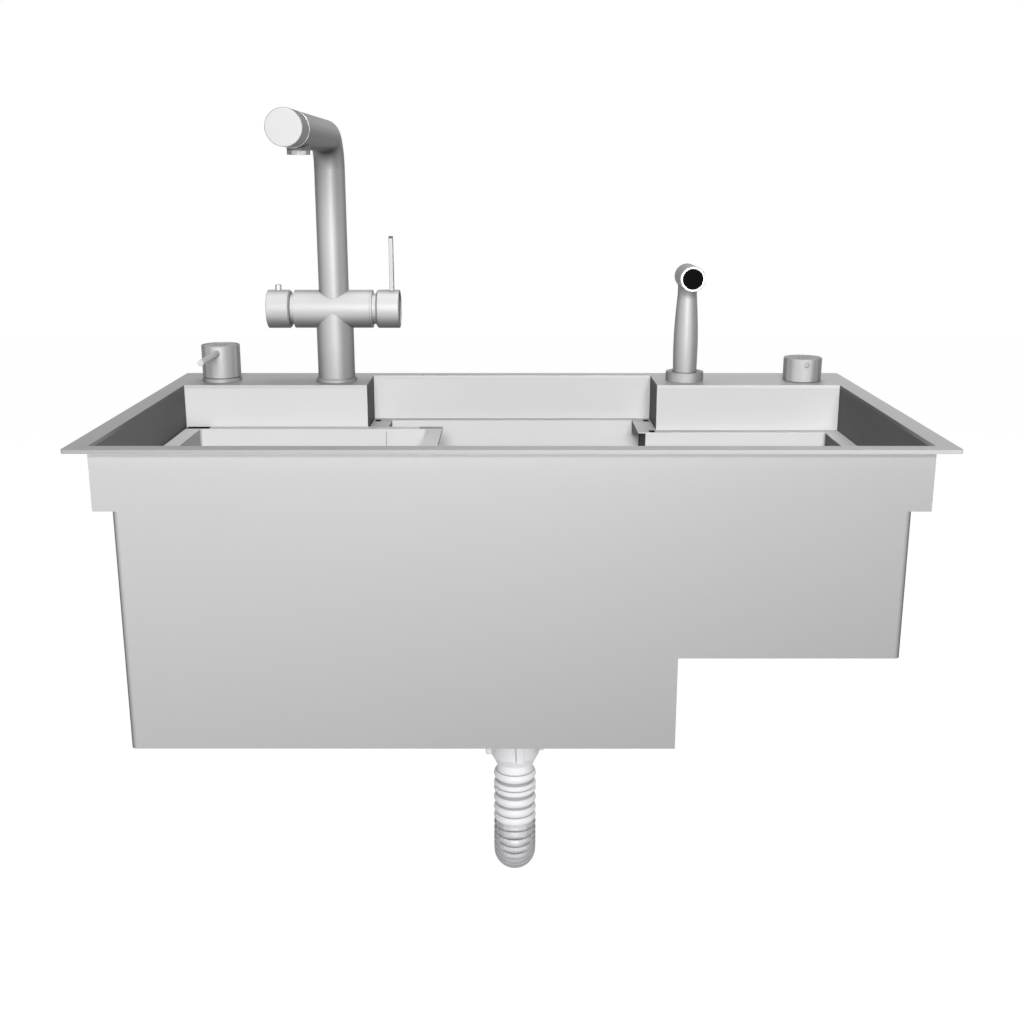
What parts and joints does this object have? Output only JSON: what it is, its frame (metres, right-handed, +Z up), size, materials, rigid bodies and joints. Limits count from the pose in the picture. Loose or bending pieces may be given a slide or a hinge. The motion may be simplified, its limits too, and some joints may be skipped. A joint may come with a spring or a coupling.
{
  "type": "kitchen sink",
  "caption": "Drop-in single-bowl steel kitchen sink with a stepped floor, ledge, sliding tray, mixer tap, soap dispenser, hand spray, waste knob and basket waste.",
  "frame": {"origin": "centre of the rim, on the plane of the rim's underside, 1 mm above the worktop", "axes": "+X to the right as the user faces it, +Y to the taps at the back, +Z up"},
  "size_m": [0.85, 0.48, 0.9155],
  "materials": {
    "brushed_steel": "fine brushed stainless steel",
    "satin_steel": "satin brushed metal",
    "chrome": "polished",
    "brass": "machined",
    "white_plastic": "moulded, slightly glossy",
    "grey_plastic": "metallised plastic",
    "black_rubber": "matt",
    "damping_rubber": "matt, textured"
  },
  "bodies": {
    "sink": {"rim_plate": "brushed_steel", "rim_seal": "damping_rubber", "upper_walls": "brushed_steel", "ledge": "brushed_steel", "ledge_inserts": "black_rubber", "ledge_supports": "brushed_steel", "front_rail": "brushed_steel", "front_panel": "brushed_steel", "bowl_walls": "brushed_steel", "niche_walls": "brushed_steel", "deep_floor": "brushed_steel", "shallow_floor": "brushed_steel", "sound_pads": "damping_rubber", "drain_flange": "chrome", "drain_gasket": "black_rubber", "drain_lock_ring": "white_plastic", "waste_body": "white_plastic", "wing_nut": "white_plastic", "bellows_pipe": "white_plastic", "ribbed_bend": "grey_plastic", "outlet_spigot": "grey_plastic", "tap_base_ring": "satin_steel", "tap_body": "satin_steel", "tap_shank": "brass", "tap_shank_nut": "brass", "tap_cartridges": "white_plastic", "neck_collars": "satin_steel", "soap_base_ring": "satin_steel", "soap_shank": "white_plastic", "deck_nuts": "brass", "soap_bottle": "white_plastic", "spray_holder": "satin_steel", "control_base": "brass"},
    "spout": {"spout_tube": "satin_steel", "spout_seam_ring": "chrome", "spout_end_cap": "satin_steel", "aerator_shell": "chrome", "aerator_insert": "white_plastic"},
    "mixer_stem": {"mixer_spindle": "brass"},
    "mixer_handle": {"mixer_knob": "satin_steel", "mixer_lever": "chrome"},
    "filter_handle": {"filter_knob": "satin_steel", "filter_pin": "chrome"},
    "soap_head": {"soap_sleeve": "satin_steel", "soap_nozzle": "satin_steel", "soap_spring": "brushed_steel"},
    "soap_push": {"soap_button": "satin_steel"},
    "handset": {"spray_grip": "satin_steel", "spray_head": "satin_steel", "spray_ring": "chrome", "spray_face": "black_rubber"},
    "handset_button": {"spray_trigger": "black_rubber"},
    "waste_handle": {"control_knob": "satin_steel"},
    "basket": {"strainer_basket": "brushed_steel", "basket_floor": "brushed_steel"},
    "plug": {"waste_plug": "chrome"},
    "tray": {"tray_tub": "brushed_steel", "tray_floor": "brushed_steel", "tray_glides": "grey_plastic", "tray_stop": "black_rubber"}
  },
  "joints": [
    {"name": "spout_swivel", "type": "hinge", "parent": "sink", "child": "spout", "pos_m": [-0.2212, 0.182, 0.0932], "axis": [0, 0, 1], "range_deg": [-110, 110]},
    {"name": "mixer_turn", "type": "hinge", "parent": "sink", "child": "mixer_stem", "pos_m": [-0.2212, 0.182, 0.0932], "axis": [1, 0, 0], "range_deg": [-40, 40]},
    {"name": "mixer_tilt", "type": "hinge", "parent": "mixer_stem", "child": "mixer_handle", "pos_m": [-0.159, 0.182, 0.0932], "axis": [0, 1, 0], "range_deg": [0, 10]},
    {"name": "filter_turn", "type": "hinge", "parent": "sink", "child": "filter_handle", "pos_m": [-0.2212, 0.182, 0.0932], "axis": [1, 0, 0], "range_deg": [0, 90]},
    {"name": "soap_swivel", "type": "hinge", "parent": "sink", "child": "soap_head", "pos_m": [-0.366, 0.182, 0.02], "axis": [0, 0, 1], "range_deg": [-100, 100]},
    {"name": "soap_press", "type": "slide", "parent": "soap_head", "child": "soap_push", "axis": [0, 0, -1], "range_m": [0, 0.007], "stiffness_N_per_m": 500, "springref_m": -0.004, "deforming": ["soap_spring"]},
    {"name": "handset_lift", "type": "slide", "parent": "sink", "child": "handset", "axis": [0, 0, 1], "range_m": [0, 0.25]},
    {"name": "handset_press", "type": "slide", "parent": "handset", "child": "handset_button", "axis": [0, -1, 0], "range_m": [0, 0.0016], "stiffness_N_per_m": 800, "springref_m": -0.002},
    {"name": "waste_turn", "type": "hinge", "parent": "sink", "child": "waste_handle", "pos_m": [0.366, 0.182, 0.02], "axis": [0, 0, 1], "range_deg": [0, 90]},
    {"name": "basket_lift", "type": "slide", "parent": "sink", "child": "basket", "axis": [0, 0, 1], "range_m": [0, 0.12]},
    {"name": "plug_lift", "type": "slide", "parent": "basket", "child": "plug", "axis": [0, 0, 1], "range_m": [0, 0.008]},
    {"name": "tray_slide", "type": "slide", "parent": "sink", "child": "tray", "axis": [1, 0, 0], "range_m": [0, 0.486]}
  ],
  "couplings": [
    {"joint": "plug_lift", "follows": "waste_turn", "m_per_rad": 0.00509}
  ]
}
